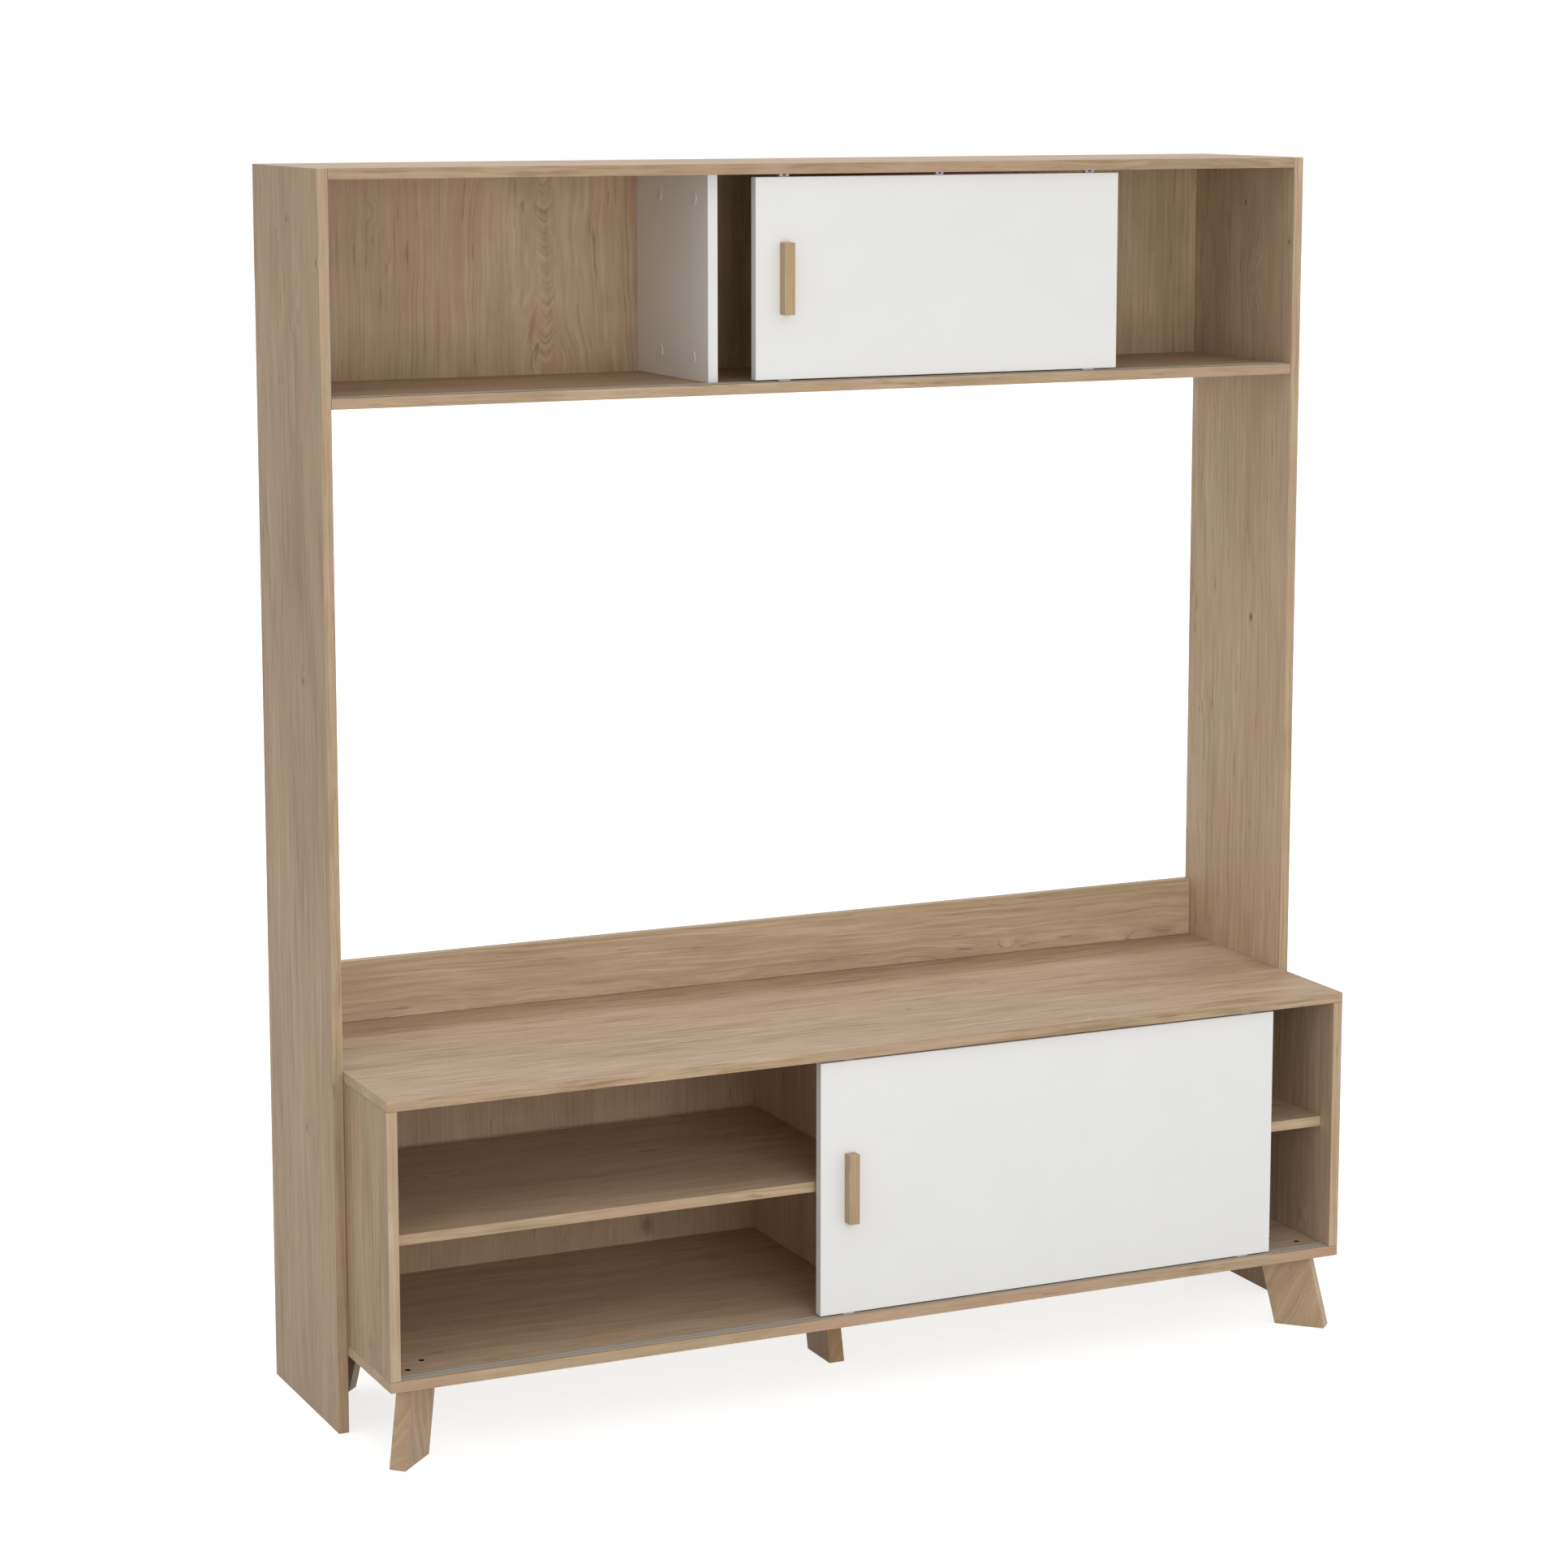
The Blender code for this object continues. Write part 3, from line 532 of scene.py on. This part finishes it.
# Painted shade: the front band of the bench top is painted darker.
hickory_board(
    "bench_top", run="yzx", pith=(0.45, 0.06), seed=37.0, banded="y- x- x+", raw="y+",
    knots=BENCH_TOP_KNOTS, curl=(0.02, 4.0), contrast=1.35, edge=-0.10, dash=9.0,
)
hickory_board(
    "bench_back_panel", run="xyz", pith=(0.30, 0.06), seed=41.0, banded="y-", raw="y+ x- x+ z- z+",
    knots=[(-0.1886, 0.1562, 0.010, 0.5)], contrast=0.6, light=-0.33, bare=fibreboard,
)

# Inner shelves. One loose shelf in each bay, banded in front, rests on four plated steel pins
# that push into holes in the bench's sides and divider.
# Painted light and shade: the left shelf is painted paler and its front band a little darker.
hickory_board(
    "shelf_left", run="yzx", pith=(0.06, 0.05), seed=43.0, banded="y-", raw="y+ x- x+",
    curl=(0.03, 6.0), lean=0.08, contrast=0.85, light=0.12, edge=-0.05, tint=0.95, dash=6.5,
)
# Painted light: the right shelf and its front band are painted paler.
hickory_board(
    "shelf_right", run="yzx", pith=(0.06, 0.05), seed=43.0, banded="y-", raw="y+ x- x+",
    curl=(0.018, 5.0), light=0.10, edge=0.15, dash=8.0,
)


def plated_steel(name, pale, dark):
    """Plated steel, or steel made near black as painted shade: its two tones in clouded patches, with fine
    marks from the tumbling.
    """
    finish = Finish(name)
    cloud = finish.noise(finish.point, scale=260.0, detail=3.0, rough=0.6)
    marks = finish.noise(finish.point, scale=1900.0, detail=2.0, rough=0.7)
    tone = finish.total(finish.swing(cloud, 0.7), finish.swing(marks, 0.4), 0.5)
    dull = finish.total(finish.swing(cloud, 0.2), finish.swing(marks, 0.1), 0.34)
    finish.show(finish.ramp(tone, [(0.2, dark), (0.8, pale)]), dull, Metallic=1.0)
    finish.relief(marks, 0.000015)
    return finish


pin_steel = plated_steel("shelf_pin_steel", "c9c9c6", "9fa09e")
pin_steel.put_on(*[name for name in parts if name.startswith("shelf_pin_")])

# Door tracks. Extruded grey plastic. The lower ones are flat strips whose grooved keels are let into the
# boards below the doors, and the upper ones are channels let into the boards above. They are cut to length
# and pressed in, so faint lines run from end to end.
for track in ("upper_track_top", "upper_track_bottom", "lower_track_bottom", "lower_track_top"):
    extrusion = Finish(track + "_grey_plastic")
    lines = extrusion.noise(extrusion.stretch(extrusion.point, (2.0, 1500.0, 1500.0)))
    haze = extrusion.noise(extrusion.stretch(extrusion.point, (6.0, 60.0, 60.0)))
    tone = extrusion.total(extrusion.swing(lines, 0.6), extrusion.swing(haze, 0.5), 0.5)
    grey = extrusion.ramp(tone, [(0.2, "a39f95"), (0.8, "bbb6ac")])
    extrusion.show(grey, extrusion.total(extrusion.swing(lines, 0.16), 0.36), Specular_IOR_Level=0.5)
    extrusion.relief(lines, 0.00003)
    extrusion.put_on(track)

# Sliding doors. Two white melamine boards banded on all four edges, one in front of the upper row and one
# in front of the bench. Pale nylon glides are pressed into their edges and run in the tracks.
for door in ("upper_door", "lower_door"):
    white_board(door, "x- x+ z- z+")
nylon = Finish("glide_nylon")
nylon_skin = nylon.noise(nylon.point, scale=480.0, detail=3.0)
nylon.show(
    nylon.ramp(nylon_skin, [(0.3, "b9b9cd"), (0.7, "cacadb")]),
    nylon.rise(nylon_skin, 0.3, 0.7, 0.30, 0.45),
    Subsurface_Weight=0.15,
    Subsurface_Scale=0.002,
)
nylon.relief(nylon_skin, 0.00002)
nylon.put_on(*[name for name in parts if "_glide_" in name])

# Door handles. Straight grips of solid pale wood, lightly rounded and oiled, each held through the door
# by two plated screws from behind. The long grain runs up the grip, and the growth rings show on its ends.
TREE_MIDDLE_AWAY = (0.021, 0.034)
PORE_TONE = "7a5f43"
GRIP_WORN_TONE = "d8c6a6"
GRIP_WEAR = 0.0016
GRIPS = [
    ("upper_handle", 3.0, ("957856", "b0946f", "c6ae8b")),
    # Painted shade: the lower grip's tones are darker than the upper grip's.
    ("lower_handle", 8.0, ("8c7151", "a58b68", "baa483")),
]


def solid_wood(name, lie, seed, tones, ring_width=0.0022, figure=0.6, sway=0.018, worn_part=None):
    """Solid planed wood in a dark, a middle and a pale tone.

    lie turns a point into the wood's own across, through and along directions. figure is how strong the
    growth rings are, and sway how far they bend. The arrises of worn_part are rubbed pale.
    """
    finish = Finish(name)
    swing, times, total = finish.swing, finish.times, finish.total
    place = lie(finish)
    across, through, _ = finish.split(place)
    off_across, off_through = TREE_MIDDLE_AWAY
    shift = (seed * 1.3, seed * 0.7, seed * 2.1)
    bend = finish.noise(finish.stretch(place, (22.0, 22.0, 5.0), shift))
    rings = finish.length(finish.join(total(across, off_across), total(through, off_through)))
    rings = total(rings, swing(bend, sway))
    growth = finish.streaks(total(times(rings, 1 / ring_width), seed), detail=2.0, rough=0.6)
    fibre = finish.noise(finish.stretch(place, (1300.0, 1300.0, 60.0), shift), rough=0.6)
    pores = finish.noise(finish.stretch(place, (900.0, 900.0, 42.0), shift), detail=1.0)
    pores = finish.rise(pores, 0.64, 0.76)
    tone = total(swing(growth, figure), swing(bend, 0.7), swing(fibre, 0.35), 0.5)
    colour = finish.ramp(tone, list(zip((0.15, 0.5, 0.85), tones)))
    colour = finish.over(times(pores, 0.4), colour, paint(PORE_TONE))
    if worn_part is not None:
        arris = finish.rise(arris_distance(finish, worn_part), GRIP_WEAR, 0.0)
        rubbed = times(arris, finish.rise(bend, 0.4, 0.6))
        colour = finish.over(times(rubbed, 0.3), colour, paint(GRIP_WORN_TONE))
    finish.show(colour, total(swing(fibre, 0.18), times(pores, 0.12), 0.46), Specular_IOR_Level=0.4)
    height = total(times(growth, 0.4), times(fibre, 0.6))
    finish.relief(finish.minus(height, times(pores, 0.5)), 0.00007)
    return finish


def middle_of(part):
    low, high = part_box(part)
    return ((low + high) / 2)[:]


for handle, seed, tones in GRIPS:
    grip_middle = middle_of(handle)

    def grip_lie(finish, grip_middle=grip_middle):
        return finish.add("VectorMath", finish.point, grip_middle, operation="SUBTRACT")

    grip = solid_wood(handle + "_solid_wood", grip_lie, seed, tones, worn_part=handle)
    grip.put_on(handle)

screw_steel = plated_steel("screw_zinc", "b9bbbc", "8d8f90")
screw_steel.put_on(*[name for name in parts if "_handle_screw_" in name])

# Legs. Five tapering blocks of solid wood stand under the bench, four along the corners' diagonals and one
# in the middle. Each leans outwards, is sawn with the grain slanting across it, and hangs from two screws
# whose heads sit in holes in the bench bottom and are made near black as painted shade.
LEG_TONES = ("9b7f61", "b49879", "c6ac8d")
# Painted shade: the middle leg, under the bench, has darker and warmer tones than the other legs.
MIDDLE_LEG_SHADED_TONES = ("8a6b47", "a4835a", "b8976b")
LEG_RING_WIDTH = 0.0064
LEG_FIGURE = 0.60
LEG_SWAY = 0.045
LEGS = [
    ("front_left_leg", 225.0, 7.0, 7.0, LEG_TONES),
    ("front_right_leg", 315.0, 23.0, 10.0, LEG_TONES),
    ("rear_left_leg", 135.0, 12.0, 13.0, LEG_TONES),
    ("rear_right_leg", 45.0, 18.0, 16.0, LEG_TONES),
    ("middle_leg", 270.0, 9.0, 19.0, MIDDLE_LEG_SHADED_TONES),
]


def leg_lie(leg, heading, slant):
    """The wood's own directions in a leg that faces a heading, with its grain slanting outwards."""
    heading, slant = math.radians(heading), math.radians(slant)
    out_x, out_y = math.cos(heading), math.sin(heading)
    across = (out_x * math.cos(slant), out_y * math.cos(slant), -math.sin(slant))
    through = (-out_y, out_x, 0.0)
    along = (out_x * math.sin(slant), out_y * math.sin(slant), math.cos(slant))

    def lie(finish):
        moved = finish.add("VectorMath", finish.point, middle_of(leg), operation="SUBTRACT")
        shares = [
            finish.add("VectorMath", moved, direction, operation="DOT_PRODUCT", out="Value")
            for direction in (across, through, along)
        ]
        return finish.join(*shares)

    return lie


for leg, heading, slant, seed, tones in LEGS:
    lie = leg_lie(leg, heading, slant)
    block = solid_wood(leg + "_solid_wood", lie, seed, tones, LEG_RING_WIDTH, LEG_FIGURE, LEG_SWAY)
    block.put_on(leg)
# Painted shade: the leg screws are near black, so the holes they sit in read dark.
dark_steel = plated_steel("leg_screw_shade_dark_steel", "3a3835", "242220")
dark_steel.put_on(*[name for name in parts if "_leg_screw_" in name])

# Studio. A plain pale floor runs out of sight on every side and keeps the soft shadow of the cabinet. The
# camera and glossy surfaces see plain white around it. The light on the pieces comes from a grey sky that
# is paler overhead, a large soft lamp in front and a weak one from above and behind.
FLOOR_REACH = 30.0
FLOOR_DROP = 0.0002
FLOOR_LIFT = 0.76
quarters = ((-1, -1), (1, -1), (1, 1), (-1, 1))
floor_corners = [(x * FLOOR_REACH, y * FLOOR_REACH, -FLOOR_DROP) for x, y in quarters]
floor_mesh = bpy.data.meshes.new("studio_floor")
floor_mesh.from_pydata(floor_corners, [], [(0, 1, 2, 3)])
floor = bpy.data.objects.new("studio_floor", floor_mesh)
bpy.context.scene.collection.objects.link(floor)


def background_rays(tree):
    """One where the camera, a glossy ray or a transmitted ray looks, and nought for the light itself."""
    path = tree.nodes.new("ShaderNodeLightPath")
    seen = path.outputs["Is Camera Ray"]
    for other in ("Is Glossy Ray", "Is Transmission Ray"):
        larger = tree.nodes.new("ShaderNodeMath")
        larger.operation = "MAXIMUM"
        tree.links.new(seen, larger.inputs[0])
        tree.links.new(path.outputs[other], larger.inputs[1])
        seen = larger.outputs[0]
    return seen


paper = Finish("floor_white_paper")
tooth = paper.noise(paper.point, scale=40.0, detail=3.0)
paper.show(paper.ramp(tooth, [(0.2, "c0beba"), (0.8, "c5c3bf")]), 0.9, Specular_IOR_Level=0.1)
paper.fill(paper.shader.inputs["Emission Color"], (1.0, 1.0, 1.0, 1.0))
paper.fill(
    paper.shader.inputs["Emission Strength"],
    paper.times(background_rays(paper.material.node_tree), FLOOR_LIFT),
)
floor_mesh.materials.append(paper.material)

HORIZON_LEVEL = 0.56
ZENITH_LEVEL = 1.05
world = bpy.data.worlds.new("studio_world")
bpy.context.scene.world = world
world.use_nodes = True
sky = world.node_tree
background = sky.nodes["Background"]
background.inputs["Color"].default_value = (1.0, 1.0, 1.0, 1.0)
direction = sky.nodes.new("ShaderNodeSeparateXYZ")
sky.links.new(sky.nodes.new("ShaderNodeTexCoord").outputs["Generated"], direction.inputs[0])
light_level = sky.nodes.new("ShaderNodeMapRange")
light_level.inputs["To Min"].default_value = HORIZON_LEVEL
light_level.inputs["To Max"].default_value = ZENITH_LEVEL
sky.links.new(direction.outputs["Z"], light_level.inputs["Value"])
level_or_white = sky.nodes.new("ShaderNodeMapRange")
sky.links.new(light_level.outputs[0], level_or_white.inputs["To Min"])
sky.links.new(background_rays(sky), level_or_white.inputs["Value"])
sky.links.new(level_or_white.outputs[0], background.inputs["Strength"])

KEY_PLACE = Vector((-0.45, -3.9, 1.3))
KEY_TARGET = Vector((0.1, 0.0, 0.7))
KEY_WIDTH = 2.0
KEY_POWER = 46.0
REAR_FROM = Vector((0.04, 0.72, 0.70))
REAR_STRENGTH = 0.5
REAR_SOFTNESS = 9.0


def hang_lamp(light, shines_from):
    """Puts a lamp into the studio, turned so that its light comes from the given direction."""
    lamp = bpy.data.objects.new(light.name, light)
    bpy.context.scene.collection.objects.link(lamp)
    lamp.rotation_euler = shines_from.to_track_quat("Z", "Y").to_euler()
    return lamp


key_light = bpy.data.lights.new("soft_key", "AREA")
key_light.size = KEY_WIDTH
key_light.energy = KEY_POWER
hang_lamp(key_light, KEY_PLACE - KEY_TARGET).location = KEY_PLACE
rear_light = bpy.data.lights.new("rear_light", "SUN")
rear_light.energy = REAR_STRENGTH
rear_light.angle = math.radians(REAR_SOFTNESS)
hang_lamp(rear_light, REAR_FROM)

# Camera. It stands ahead and to the left, a little above eye height, and looks down along the bench to the
# right, with a small shift of the film that keeps the uprights nearly straight.
CAMERA_PLACE = (-2.5107, -5.2609, 1.9379)
CAMERA_LENS = 91.017
CAMERA_FILM = 36.0
CAMERA_TILT = -8.720
CAMERA_YAW = 24.945
CAMERA_SHIFT = -0.07
CAMERA_REACH = 200.0
lens = bpy.data.cameras.new("photo_camera")
lens.lens = CAMERA_LENS
lens.sensor_width = CAMERA_FILM
lens.shift_y = CAMERA_SHIFT
lens.clip_end = CAMERA_REACH
camera = bpy.data.objects.new("photo_camera", lens)
bpy.context.scene.collection.objects.link(camera)
camera.location = CAMERA_PLACE
camera.rotation_euler = (math.radians(90.0 + CAMERA_TILT), 0.0, math.radians(-CAMERA_YAW))
bpy.context.scene.camera = camera
bpy.context.scene.view_settings.view_transform = "Standard"
